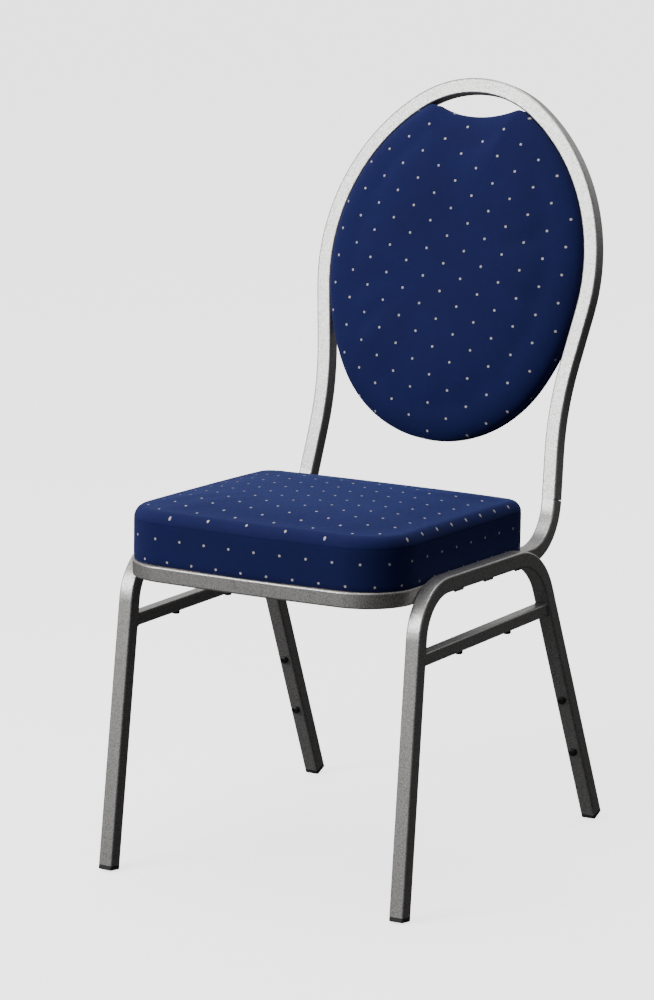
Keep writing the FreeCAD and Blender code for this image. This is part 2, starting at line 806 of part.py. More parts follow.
def back_outline(inset):
    """The pad's outline in the hoop's plane, drawn in by an inset: round below, following the
    hoop at the shoulders, with a shallow hollow at the top that leaves the hand grip open."""
    off = size("half_tube") + size("back_gap") + inset
    shoulder = shoulder_centre()
    crown = Vector(0, 0, size("hoop_height") - size("crown_radius"))
    shoulder_radius = size("shoulder_radius") - off
    crown_radius = size("crown_radius") - off
    flank_radius = size("flank_radius") - inset
    flank = shoulder + Vector(shoulder_radius - flank_radius, 0, 0)
    bottom = size("back_bottom") + inset
    drop = flank.z - bottom
    bowl_radius = (flank_radius ** 2 - flank.x ** 2 - drop ** 2) / (2 * (flank_radius - drop))
    bowl = Vector(0, 0, bottom + bowl_radius)
    bowl_end = flank + (bowl - flank).normalize() * flank_radius
    grip_radius = size("grip_radius") + inset
    grip_up = size("hoop_height") - size("half_tube") - size("grip_depth") - inset + grip_radius
    reach = crown_radius ** 2 - grip_radius ** 2 + grip_up ** 2 - crown.z ** 2
    horn_up = reach / (2 * (grip_up - crown.z))
    horn = Vector(math.sqrt(crown_radius ** 2 - (horn_up - crown.z) ** 2), 0, horn_up)

    turn = math.degrees(math.atan2(bowl_end.z - flank.z, bowl_end.x - flank.x))
    horn_turn = math.degrees(math.atan2(horn.z - crown.z, horn.x))
    half = [
        hoop_arc(flank, flank_radius, turn, 0),
        hoop_arc(shoulder, shoulder_radius, 0, size("crown_angle")),
        hoop_arc(crown, crown_radius, size("crown_angle"), horn_turn),
    ]
    other_half = [edge.mirror(Vector(), X_AXIS) for edge in half]
    bowl_turn = math.degrees(math.atan2(bowl_end.z - bowl.z, bowl_end.x))
    low = hoop_arc(bowl, bowl_radius, bowl_turn, -180 - bowl_turn)
    grip_turn = math.degrees(math.atan2(horn.z - grip_up, horn.x))
    hollow = hoop_arc(Vector(0, 0, grip_up), grip_radius, grip_turn, -180 - grip_turn)
    return Part.Wire(Part.sortEdges(half + [low, hollow] + other_half)[0])


def slab(inset, front, back):
    """The pad's outline made solid between two depths, front being the smaller."""
    face = Part.Face(back_outline(inset))
    face.translate(Vector(0, front, 0))
    return face.extrude(Vector(0, back - front, 0))


def back_tab_bars():
    """Four flat tabs that reach in from the hoop's inner face behind the board."""
    front = size("back_seam")
    length, width = size("back_tab_length"), size("back_tab_width")
    shoulder = shoulder_centre()
    inner = size("shoulder_radius") - size("half_tube")
    bore = Part.makeCylinder(inner, size("back_tab"), Vector(shoulder.x, front, shoulder.z), Y_AXIS)
    bars = []
    for name in ("back_tab_low", "back_tab_high"):
        rise = size(name) - shoulder.z
        edge = shoulder.x + math.sqrt(inner ** 2 - rise ** 2)
        start = Vector(edge - length, front, size(name) - width / 2)
        bar = Part.makeBox(2 * length, size("back_tab"), width, start).common(bore)
        bars.append((name, bar, Vector(edge - length * 2 / 3, front, size(name))))
    return bars


def make_back():
    plane = hoop_plane()
    seam = size("back_seam")
    board_front = seam - size("back_board")
    panel_back = seam + size("panel_depth")
    tabs = []
    screws = []
    shank = size("back_screw_radius")
    head_top = -size("back_screw_height") - size("back_tab")
    screw = turned_piece([
        (0, head_top),
        (size("back_screw_head"), head_top),
        (size("back_screw_head"), -size("back_tab")),
        (shank, -size("back_tab")),
        (shank, size("back_screw_reach")),
        (0, size("back_screw_reach")),
    ])
    forward = Rotation(X_AXIS, 90)
    for name, bar, spot in back_tab_bars():
        for side, hand in HANDS:
            shape, place_at = bar, Vector(spot)
            if hand < 0:
                shape = bar.mirror(Vector(), X_AXIS)
                place_at.x = -place_at.x
            fixing = screw.transformed(Placement(place_at, forward).toMatrix())
            screws.append(fixing)
            label = name.replace("low", "lower").replace("high", "upper")
            tabs.append((f"{label}_{side}", shape.cut(fixing)))
    screw_group = Part.makeCompound(screws)

    board = slab(size("cover"), board_front, seam).cut(screw_group)
    cushion = slab(0, -size("back_front"), seam)
    rim = [edge for edge in cushion.Edges if edge.BoundBox.YMax < seam - size("back_edge")]
    cushion = cushion.makeFillet(size("back_edge"), rim)
    cushion = cushion.cut(slab(size("cover"), board_front, seam))
    panel = slab(0, seam, panel_back)
    panel = panel.cut(slab(size("panel_rim"), seam, panel_back - size("panel_skin")))
    panel = panel.cut(Part.makeCompound([shape for _, shape in tabs]))

    pieces = [
        add_shape("back_board", board, plane),
        add_shape("back_pad", cushion, plane),
        add_shape("back_panel", panel, plane),
        add_shape("back_screws", screw_group, plane),
    ]
    for label, shape in tabs:
        pieces.append(add_shape(label, shape, plane))
    return pieces


# ---------------------------------------------------------------- build, check and write


def build():
    pieces = [make_hoop(), make_front_rail()]
    for name, hand in HANDS:
        pieces.append(make_leg_frame(name, hand))
        pieces.append(make_stretcher(name, hand))
    return pieces + make_feet_and_pegs() + make_seat() + make_back()


def check_and_write(pieces):
    doc.recompute()
    for item in doc.Objects:
        if "Invalid" in item.State or "Error" in item.State:
            raise RuntimeError(f"{item.Name} did not rebuild: {item.State}")
    os.makedirs("parts", exist_ok=True)
    for piece in pieces:
        shape = piece.Shape
        if shape.isNull() or not shape.isValid() or not shape.Solids:
            raise RuntimeError(f"{piece.Label} has no valid solid")
        shape.exportStep(f"parts/{piece.Label}.step")


check_and_write(build())
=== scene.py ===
import json
import math

import bmesh
import bpy
from mathutils import Matrix, Vector
from mathutils.bvhtree import BVHTree


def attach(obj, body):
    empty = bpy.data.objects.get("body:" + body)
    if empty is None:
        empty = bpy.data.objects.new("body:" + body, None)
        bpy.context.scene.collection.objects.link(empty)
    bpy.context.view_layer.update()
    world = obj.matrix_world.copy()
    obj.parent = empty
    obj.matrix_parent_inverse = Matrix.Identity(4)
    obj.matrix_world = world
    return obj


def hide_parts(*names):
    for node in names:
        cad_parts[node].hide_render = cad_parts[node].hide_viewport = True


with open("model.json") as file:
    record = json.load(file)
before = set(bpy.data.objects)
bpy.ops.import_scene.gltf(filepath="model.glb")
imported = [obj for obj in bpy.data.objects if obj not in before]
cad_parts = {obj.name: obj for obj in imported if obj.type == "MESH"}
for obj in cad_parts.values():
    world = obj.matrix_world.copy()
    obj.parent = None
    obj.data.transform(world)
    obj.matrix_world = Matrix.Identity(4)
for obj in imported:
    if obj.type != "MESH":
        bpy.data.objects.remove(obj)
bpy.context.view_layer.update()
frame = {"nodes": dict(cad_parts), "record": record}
NODES = frame["nodes"]
MM = 0.001

# The seat and the back are each drawn in a frame turned about X, so that their planes lie square.
SEAT_TILT = 2.6
BACK_LEAN = 16.1
SEAT_TURN = Matrix.Rotation(math.radians(-SEAT_TILT), 3, "X")
BACK_TURN = Matrix.Rotation(math.radians(-BACK_LEAN), 3, "X")


def turned_points(node, turn):
    """The vertices of a CAD node, seen in a turned frame."""
    back = turn.transposed()
    return [back @ vertex.co for vertex in NODES[node].data.vertices]


def turned_box(node, turn):
    points = turned_points(node, turn)
    low = Vector(min(p[axis] for p in points) for axis in range(3))
    high = Vector(max(p[axis] for p in points) for axis in range(3))
    return low, high


def smooth_step(value, low, high):
    share = min(max((value - low) / (high - low), 0.0), 1.0)
    return share * share * (3 - 2 * share)


# ---------------------------------------------------------------- material nodes


class Shader:
    """A node material under construction, with short calls for the nodes it needs."""

    def __init__(self, name):
        self.material = bpy.data.materials.new(name)
        self.material.use_nodes = True
        self.tree = self.material.node_tree
        self.surface = self.tree.nodes["Principled BSDF"]

    def node(self, kind, inputs=None, **settings):
        made = self.tree.nodes.new(kind)
        for key, value in settings.items():
            setattr(made, key, value)
        for key, value in (inputs or {}).items():
            self.feed(made.inputs[key], value)
        return made

    def feed(self, socket, value):
        if isinstance(value, bpy.types.NodeSocket):
            self.tree.links.new(value, socket)
        else:
            socket.default_value = value

    def math(self, operation, first, second=0.0, third=0.0):
        inputs = {0: first, 1: second, 2: third}
        return self.node("ShaderNodeMath", inputs, operation=operation).outputs[0]

    def vector(self, operation, first, second=(0.0, 0.0, 0.0)):
        inputs = {0: first, 1: second}
        made = self.node("ShaderNodeVectorMath", inputs, operation=operation)
        return made.outputs["Value" if operation == "LENGTH" else "Vector"]

    def step(self, value, low, high, to_low=0.0, to_high=1.0):
        inputs = {
            "Value": value,
            "From Min": low,
            "From Max": high,
            "To Min": to_low,
            "To Max": to_high,
        }
        made = self.node("ShaderNodeMapRange", inputs, interpolation_type="SMOOTHSTEP")
        return made.outputs["Result"]

    def mix(self, share, first, second):
        made = self.node("ShaderNodeMix", data_type="RGBA")
        self.feed(made.inputs["Factor"], share)
        self.feed(made.inputs["A"], first)
        self.feed(made.inputs["B"], second)
        return made.outputs["Result"]

    def place(self):
        """Where a point is on the object itself, in metres."""
        return self.node("ShaderNodeTexCoord").outputs["Object"]

    def noise(self, where, scale, detail=2.0, roughness=0.5):
        inputs = {"Vector": where, "Scale": scale, "Detail": detail, "Roughness": roughness}
        return self.node("ShaderNodeTexNoise", inputs).outputs["Fac"]

    def bump(self, height, distance, strength=1.0):
        inputs = {"Height": height, "Distance": distance, "Strength": strength}
        return self.node("ShaderNodeBump", inputs).outputs["Normal"]

    def set(self, **sockets):
        for name, value in sockets.items():
            self.feed(self.surface.inputs[name.replace("_", " ")], value)
        return self.material


def grey(level, warmth=0.0):
    return (level * (1 + warmth), level, level * (1 - warmth), 1.0)


def hammertone():
    """Silver powder coat: pale metal with darker specks in a net of fine pits."""
    paint = Shader("silver_hammertone")
    where = paint.place()
    cells = paint.node("ShaderNodeTexVoronoi", {"Vector": where, "Scale": 520.0}).outputs["Distance"]
    fine = paint.noise(where, 900.0, 3.0, 0.6)
    broad = paint.noise(where, 60.0, 3.0)
    flake = paint.step(paint.math("ADD", paint.math("MULTIPLY", cells, 0.6), fine), 0.55, 1.0)
    tone = paint.mix(flake, grey(0.62, 0.01), grey(0.34, 0.03))
    tone = paint.mix(paint.step(broad, 0.35, 0.65, 0.0, 0.3), tone, grey(0.48, 0.02))
    pits = paint.math("ADD", paint.math("MULTIPLY", cells, 0.8), paint.math("MULTIPLY", fine, 0.5))
    rough = paint.step(fine, 0.3, 0.7, 0.3, 0.42)
    return paint.set(
        Base_Color=tone,
        Metallic=0.8,
        Roughness=rough,
        Normal=paint.bump(pits, 0.00012, 0.45),
    )


def weld_paint():
    """The same coat over a weld bead, a little darker and rougher."""
    paint = Shader("silver_over_weld")
    where = paint.place()
    fine = paint.noise(where, 700.0, 3.0, 0.6)
    tone = paint.mix(paint.step(fine, 0.35, 0.7), grey(0.16), grey(0.4))
    return paint.set(
        Base_Color=tone,
        Metallic=0.7,
        Roughness=0.45,
        Normal=paint.bump(fine, 0.0002),
    )


def moulded(name, level, scale, roughness):
    """Black moulded plastic or rubber with a fine grain and paler scuffs."""
    plastic = Shader(name)
    where = plastic.place()
    grain = plastic.noise(where, scale, 3.0, 0.6)
    scuff = plastic.step(plastic.noise(where, 90.0, 4.0, 0.7), 0.56, 0.75)
    tone = plastic.mix(scuff, grey(level), grey(level * 2.2))
    return plastic.set(
        Base_Color=tone,
        Roughness=plastic.math("ADD", plastic.math("MULTIPLY", scuff, 0.15), roughness),
        Normal=plastic.bump(grain, 0.00015),
    )


def birch_plywood():
    """Bare birch with long grain along X and thin darker plies on the edge."""
    wood = Shader("birch_plywood")
    where = wood.place()
    stretched = wood.vector("MULTIPLY", where, (6.0, 90.0, 260.0))
    grain = wood.noise(stretched, 1.0, 5.0, 0.65)
    fine = wood.noise(wood.vector("MULTIPLY", where, (40.0, 900.0, 900.0)), 1.0, 2.0)
    tone = wood.mix(wood.step(grain, 0.35, 0.7), (0.62, 0.44, 0.26, 1), (0.42, 0.27, 0.14, 1))
    tone = wood.mix(wood.step(fine, 0.5, 0.7, 0.0, 0.4), tone, (0.3, 0.19, 0.1, 1))
    return wood.set(Base_Color=tone, Roughness=0.65, Normal=wood.bump(fine, 0.0001, 0.5))


def zinc():
    """Zinc plated steel, finely brushed, with cloudy patches."""
    metal = Shader("zinc_plate")
    where = metal.place()
    cloud = metal.noise(where, 140.0, 3.0)
    brushed = metal.noise(metal.vector("MULTIPLY", where, (300.0, 300.0, 4000.0)), 1.0, 2.0)
    tone = metal.mix(cloud, (0.6, 0.58, 0.52, 1), (0.42, 0.43, 0.46, 1))
    return metal.set(
        Base_Color=tone,
        Metallic=1.0,
        Roughness=metal.step(brushed, 0.3, 0.7, 0.25, 0.42),
        Normal=metal.bump(brushed, 0.00005, 0.5),
    )


# The woven dots: 36 mm apart along a row, rows 27.5 mm apart, every other row shifted by half.
DOT_STEP = 36.0 * MM
DOT_ROWS = 27.5 * MM
DOT_RADIUS = 1.5 * MM
THREAD = 1.1 * MM


def dotted_fabric(name, pair, anchor):
    """Navy cloth with cream dots. A pair is the cell that holds two dots, one at its corners and
    one in its middle; the anchor is where one dot lies. The UV map is in metres of cloth."""
    cloth = Shader(name)
    flat = cloth.node("ShaderNodeUVMap", uv_map="cloth").outputs["UV"]
    where = cloth.place()
    phase = (pair[0] / 2 - anchor[0], pair[1] / 2 - anchor[1])
    pair = (pair[0], pair[1], 1.0)
    near = []
    for shift in (0.0, 0.5):
        moved = cloth.vector("ADD", flat, (phase[0], phase[1], 0.0))
        cell = cloth.vector("DIVIDE", moved, pair)
        cell = cloth.vector("ADD", cell, (shift, shift, 0.0))
        inside = cloth.vector("SUBTRACT", cloth.vector("FRACTION", cell), (0.5, 0.5, 0.0))
        inside = cloth.vector("MULTIPLY", inside, (pair[0], pair[1], 0.0))
        near.append(cloth.vector("LENGTH", inside))
    ragged = cloth.math("MULTIPLY", cloth.noise(flat, 1400.0, 1.0), 0.7 * MM)
    reach = cloth.math("ADD", cloth.math("MINIMUM", *near), ragged)
    dot = cloth.step(reach, DOT_RADIUS, DOT_RADIUS + 0.8 * MM, 1.0, 0.0)

    parts = cloth.node("ShaderNodeSeparateXYZ", {0: flat}).outputs
    turns = 2 * math.pi / THREAD
    warp = cloth.math("SINE", cloth.math("MULTIPLY", parts[0], turns))
    weft = cloth.math("SINE", cloth.math("MULTIPLY", parts[1], turns))
    weave = cloth.math("MULTIPLY_ADD", cloth.math("MULTIPLY", warp, weft), 0.5, 0.5)
    slub = cloth.noise(cloth.vector("MULTIPLY", flat, (60.0, 900.0, 1.0)), 1.0, 3.0, 0.6)
    fuzz = cloth.noise(where, 1500.0, 2.0, 0.7)
    broad = cloth.noise(where, 14.0, 3.0)

    dark = (0.0045, 0.0065, 0.05, 1)
    light = (0.011, 0.017, 0.125, 1)
    streaks = cloth.math("MULTIPLY", slub, 0.4)
    tone = cloth.mix(cloth.math("MULTIPLY_ADD", weave, 0.45, streaks), dark, light)
    tone = cloth.mix(cloth.step(broad, 0.3, 0.7, 0.0, 0.25), tone, dark)
    tone = cloth.mix(cloth.step(fuzz, 0.55, 0.8, 0.0, 0.35), tone, light)
    cream = cloth.mix(fuzz, (0.45, 0.42, 0.43, 1), (0.66, 0.63, 0.62, 1))
    tone = cloth.mix(dot, tone, cream)
    height = cloth.math("ADD", weave, cloth.math("MULTIPLY", dot, 0.8))
    height = cloth.math("ADD", height, cloth.math("MULTIPLY", fuzz, 0.5))
    return cloth.set(
        Base_Color=tone,
        Roughness=0.85,
        Specular_IOR_Level=0.2,
        Sheen_Weight=0.22,
        Sheen_Roughness=0.4,
        Sheen_Tint=(0.2, 0.32, 1.0, 1),
        Normal=cloth.bump(height, 0.00018, 0.6),
    )


# ---------------------------------------------------------------- mesh helpers


def new_object(name, points, faces, material, body="root"):
    mesh = bpy.data.meshes.new(name)
    mesh.from_pydata([tuple(p) for p in points], [], faces)
    mesh.validate()
    piece = bpy.data.objects.new(name, mesh)
    bpy.context.scene.collection.objects.link(piece)
    mesh.materials.append(material)
    mesh.polygons.foreach_set("use_smooth", [True] * len(mesh.polygons))
    if body:
        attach(piece, body)
    return piece


def resample(outline, count):
    """Evenly spaced points round a closed outline, and its whole length."""
    lengths = [0.0]
    closed = outline + outline[:1]
    for start, stop in zip(closed, closed[1:]):
        lengths.append(lengths[-1] + (stop - start).length)
    whole = lengths[-1]
    points = []
    index = 0
    for number in range(count):
        goal = whole * number / count
        while lengths[index + 1] < goal:
            index += 1
        share = (goal - lengths[index]) / (lengths[index + 1] - lengths[index])
        points.append(closed[index].lerp(closed[index + 1], share))
    return points, whole


def outward(points):
    """Unit normals in the plane of a closed outline that runs anticlockwise."""
    normals = []
    count = len(points)
    for index in range(count):
        along = points[(index + 1) % count] - points[index - 1]
        normals.append(Vector((along.y, -along.x)).normalized())
    return normals


def rounded_polygon(corners, arc_steps=14):
    """A closed outline with an arc of the given radius at each corner (x, y, radius)."""
    points = []
    count = len(corners)
    for index in range(count):
        corner = Vector(corners[index][:2])
        before = (Vector(corners[index - 1][:2]) - corner).normalized()
        after = (Vector(corners[(index + 1) % count][:2]) - corner).normalized()
        radius = corners[index][2]
        half = before.angle(after) / 2
        centre = corner + (before + after).normalized() * (radius / math.sin(half))
        start = corner + before * (radius / math.tan(half)) - centre
        stop = corner + after * (radius / math.tan(half)) - centre
        turn = start.angle_signed(stop)
        for number in range(arc_steps + 1):
            points.append(centre + Matrix.Rotation(-turn * number / arc_steps, 2) @ start)
    return points


def ring_faces(rings, count):
    faces = []
    for ring in range(rings - 1):
        for index in range(count):
            after = (index + 1) % count
            low, high = ring * count, (ring + 1) * count
            faces.append((low + index, low + after, high + after, high + index))
    return faces


# ---------------------------------------------------------------- cushions by cloth simulation


VOXEL = 6 * MM
CLOTH_FRAMES = 20
PRESSURE = 6.0
HELD_RIM = 6 * MM
CLOTH_SETTINGS = {
    "quality": 6,
    "mass": 0.3,
    "tension_stiffness": 8,
    "compression_stiffness": 8,
    "shear_stiffness": 3,
    "bending_stiffness": 0.5,
}


def inflated(points, faces, held, cap):
    """The surface a stuffed cover takes up: the closed form is remeshed, blown up as cloth with
    some of its points held, and given back as a tree to look up points on."""
    mesh = bpy.data.meshes.new("stuffing")
    mesh.from_pydata([tuple(p) for p in points], [], faces)
    work = bpy.data.objects.new("stuffing", mesh)
    bpy.context.scene.collection.objects.link(work)
    remesh = work.modifiers.new("remesh", "REMESH")
    remesh.mode = "VOXEL"
    remesh.voxel_size = VOXEL
    graph = bpy.context.evaluated_depsgraph_get()
    fine = bpy.data.meshes.new_from_object(work.evaluated_get(graph))
    work.modifiers.clear()
    work.data = fine
    group = work.vertex_groups.new(name="held")
    rest = [vertex.co.copy() for vertex in fine.vertices]
    for index, point in enumerate(rest):
        group.add([index], held(point), "REPLACE")
    cloth = work.modifiers.new("cloth", "CLOTH")
    settings = cloth.settings
    for key, value in CLOTH_SETTINGS.items():
        setattr(settings, key, value)
    settings.effector_weights.gravity = 0
    settings.use_pressure = True
    settings.uniform_pressure_force = PRESSURE
    settings.vertex_group_mass = "held"
    cloth.collision_settings.use_collision = False
    scene = bpy.context.scene
    scene.frame_start = 1
    scene.frame_end = CLOTH_FRAMES
    cloth.point_cache.frame_start = 1
    cloth.point_cache.frame_end = CLOTH_FRAMES
    for number in range(1, CLOTH_FRAMES + 1):
        scene.frame_set(number)
    graph = bpy.context.evaluated_depsgraph_get()
    blown = bpy.data.meshes.new_from_object(work.evaluated_get(graph))
    moved = []
    for start, vertex in zip(rest, blown.vertices):
        step = vertex.co - start
        if step.length > cap:
            step *= cap / step.length
        moved.append(start + step)
    polygons = [tuple(face.vertices) for face in blown.polygons]
    scene.frame_set(1)
    bpy.data.objects.remove(work)
    return BVHTree.FromPolygons(moved, polygons)


def neighbours(count, faces):
    near = [set() for _ in range(count)]
    for face in faces:
        for first, second in zip(face, face[1:] + face[:1]):
            near[first].add(second)
            near[second].add(first)
    return near


def face_normals(points, faces):
    normals = [Vector() for _ in points]
    for face in faces:
        a, b, c = (points[index] for index in face[:3])
        square = (b - a).cross(c - a)
        for index in face:
            normals[index] += square
    return [normal.normalized() for normal in normals]


def fitted(points, faces, surface, cap, passes):
    """Each point moved along its normal onto a surface, with the moves evened out. A cover over
    foam swells but does not sink, so a point never moves inward."""
    normals = face_normals(points, faces)
    reach = 3 * cap
    moves = []
    for point, normal in zip(points, normals):
        hit = surface.ray_cast(point - normal * reach, normal, 2 * reach)
        moves.append(0.0 if hit[0] is None else hit[3] - reach)
    near = neighbours(len(points), faces)
    for _ in range(passes):
        moves = [
            (moves[index] + sum(moves[other] for other in near[index])) / (1 + len(near[index]))
            for index in range(len(points))
        ]
    return [
        point + normal * min(max(move, 0.0), cap)
        for point, normal, move in zip(points, normals, moves)
    ]


def centre_fan(points, faces, first, count):
    """Close the last ring of points with a fan round its middle."""
    middle = sum((points[first + index] for index in range(count)), Vector()) / count
    points.append(middle)
    last = len(points) - 1
    for index in range(count):
        faces.append((first + index, first + (index + 1) % count, last))


def add_cloth_map(piece, place_of):
    """A UV map in metres of cloth. place_of(face, vertex) gives the two lengths."""
    layer = piece.data.uv_layers.new(name="cloth")
    for face in piece.data.polygons:
        for loop in face.loop_indices:
            vertex = piece.data.loops[loop].vertex_index
            layer.data[loop].uv = place_of(face.index, vertex)


# ---------------------------------------------------------------- seat cushion

SEAT_RING = 208
SEAT_FRONT_CORNER = 68 * MM
SEAT_REAR_CORNER = 24 * MM
SEAT_BOW = 7 * MM
SEAT_EDGE = 13 * MM
SEAT_DROP = 6 * MM
SEAT_CROWN = 7 * MM
SEAT_CAP = 9 * MM
SEAT_PASSES = 14
SEAT_SETTLE = 12 * MM
SEAM_DEPTH = 0.4 * MM
SEAM_HALF = 1.0 * MM
REAR_MIDDLE_RADIUS = 1 * MM
FRONT_MIDDLE_RADIUS = 900 * MM
# the turned-in lower edge, as (inset, height above the bottom)
SEAT_UNDER = ((10 * MM, 0.0), (4 * MM, 0.0), (1.5 * MM, 0.5 * MM), (0.4 * MM, 2 * MM))
SEAT_WALL_RINGS = 9
SEAT_EDGE_TURNS = (14, 28, 42, 56, 70, 82, 90)
SEAT_TOP_RINGS = (0.94, 0.87, 0.79, 0.7, 0.6, 0.5, 0.4, 0.3, 0.2, 0.1)


def seat_outline():
    """The cushion's outline in the seat's own plane, anticlockwise from the middle of the rear."""
    low, high = turned_box("seat_pad", SEAT_TURN)
    side = low.y + SEAT_BOW
    corners = [
        (0, high.y, REAR_MIDDLE_RADIUS),
        (low.x, high.y, SEAT_REAR_CORNER),
        (low.x, side, SEAT_FRONT_CORNER),
        (0, low.y, FRONT_MIDDLE_RADIUS),
        (high.x, side, SEAT_FRONT_CORNER),
        (high.x, high.y, SEAT_REAR_CORNER),
    ]
    return rounded_polygon(corners)


def seat_cushion(cloth_wall, cloth_top):
    low, high = turned_box("seat_pad", SEAT_TURN)
    outline, length = resample(seat_outline(), SEAT_RING)
    normals = outward(outline)
    bottom = low.z
    top = high.z - SEAT_DROP
    seam = top - SEAT_EDGE

    # rings from under the edge, up the side, over the seam and round on to the top: (inset, height)
    wall = [(inset, bottom + rise) for inset, rise in SEAT_UNDER]
    wall_start = wall[-1][1]
    wall_rise = seam - 3 * SEAM_HALF - wall_start
    for number in range(1, SEAT_WALL_RINGS + 1):
        wall.append((0.0, wall_start + wall_rise * number / SEAT_WALL_RINGS))
    wall += [(0.0, seam - 2 * SEAM_HALF), (0.0, seam - SEAM_HALF)]
    seam_ring = len(wall)
    profile = wall + [(0.0, seam), (0.0, seam + SEAM_HALF)]
    for degrees in SEAT_EDGE_TURNS:
        turn = math.radians(degrees)
        profile.append((SEAT_EDGE * (1 - math.cos(turn)), seam + SEAT_EDGE * math.sin(turn)))
    rings = [[p - n * inset for p, n in zip(outline, normals)] for inset, _ in profile]
    heights = [height for _, height in profile]
    middle = Vector((0.0, (low.y + high.y) / 2))
    rim = rings[-1]
    for share in SEAT_TOP_RINGS:
        rings.append([middle + (p - middle) * share for p in rim])
        heights.append(top)
    points = []
    for ring, height in zip(rings, heights):
        for p in ring:
            across = 1 - min(abs(p.x) / high.x, 1.0) ** 3
            along = 1 - min(abs(p.y - middle.y) / (high.y - middle.y), 1.0) ** 3
            crown = SEAT_CROWN * (across * along) ** 0.5
            points.append(Vector((p.x, p.y, height + crown * smooth_step(height, seam, top))))
    faces = ring_faces(len(rings), SEAT_RING)
    flat = [Vector(p) for p in points]
    centre_fan(points, faces, (len(rings) - 1) * SEAT_RING, SEAT_RING)
    flat.append(Vector(points[-1]))
    underside = list(range(SEAT_RING))
    closed = faces + [tuple(reversed(underside))]

    shaped = [Vector(point) for point in points]
    grip = bottom + HELD_RIM
    surface = inflated(points, closed, lambda p: 1.0 if p.z < grip else 0.0, SEAT_CAP)
    shaped = fitted(points, faces, surface, SEAT_CAP, SEAT_PASSES)
    for index, point in enumerate(points):
        keep = 1 - smooth_step(point.z, bottom, bottom + SEAT_SETTLE)
        shaped[index] = shaped[index].lerp(point, keep)
    for index in range(seam_ring * SEAT_RING, (seam_ring + 1) * SEAT_RING):
        drawn = normals[index % SEAT_RING] * SEAM_DEPTH
        shaped[index] -= Vector((drawn.x, drawn.y, 0.0))

    placed = [SEAT_TURN @ point for point in shaped]
    piece = new_object("seat_cushion", placed, closed, cloth_wall)
    piece.data.materials.append(cloth_top)
    seam_faces = seam_ring * SEAT_RING
    steps_round = length / SEAT_RING
    for face in piece.data.polygons:
        face.material_index = 1 if seam_faces <= face.index < len(faces) else 0

    def place_of(face, vertex):
        point = flat[vertex]
        if seam_faces <= face < len(faces):
            return point.x, point.y
        column = vertex % SEAT_RING
        if face % SEAT_RING == SEAT_RING - 1 and column == 0:
            column = SEAT_RING
        return column * steps_round - length / 2, point.z - bottom

    add_cloth_map(piece, place_of)
    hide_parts("seat_pad")
    return piece


# ---------------------------------------------------------------- back cushion and rear cover

BACK_RING = 300
BACK_OVER = 2 * MM
BACK_CAP = 10 * MM
BACK_PASSES = 20
BACK_MIDDLE = 0.53
BACK_WALL_RINGS = 4
BACK_ROUND_RISE = 20 * MM
BACK_ROUND_REACH = 50 * MM
BACK_ROUND_TURNS = (8, 16, 24, 32, 40, 50, 60, 70, 80, 90)
BACK_FRONT_RINGS = (0.92, 0.84, 0.75, 0.66, 0.56, 0.46, 0.36, 0.26, 0.16, 0.08)
SAME_PLANE = 0.1 * MM
SAME_POINT = 0.5 * MM
COVER_EDGE = 4 * MM
# the rear cover's slight swell, as (inset, rise)
COVER_SWELL = (
    (10 * MM, 0.8 * MM),
    (22 * MM, 1.8 * MM),
    (45 * MM, 2.8 * MM),
    (80 * MM, 3.6 * MM),
    (120 * MM, 4 * MM),
)


def back_outline():
    """Outline of the back in the hoop's plane, read from the rear rim of its panel."""
    points = turned_points("back_panel", BACK_TURN)
    rear = max(p.y for p in points)
    low, high = turned_box("back_panel", BACK_TURN)
    middle = Vector((0.0, low.z + BACK_MIDDLE * (high.z - low.z)))
    rim = [Vector((p.x, p.z)) for p in points if p.y > rear - SAME_PLANE]
    rim.sort(key=lambda p: math.atan2(p.x - middle.x, middle.y - p.y))
    outline = [rim[0]]
    for point in rim[1:]:
        if (point - outline[-1]).length > SAME_POINT:
            outline.append(point)
    points, _ = resample(outline, BACK_RING)
    points = [
        (points[index - 1] + 2 * points[index] + points[(index + 1) % BACK_RING]) / 4
        for index in range(BACK_RING)
    ]
    return points, middle


def shrunk(outline, middle, inset):
    """The outline drawn in towards its middle by a length."""
    return [p + (middle - p).normalized() * inset for p in outline]


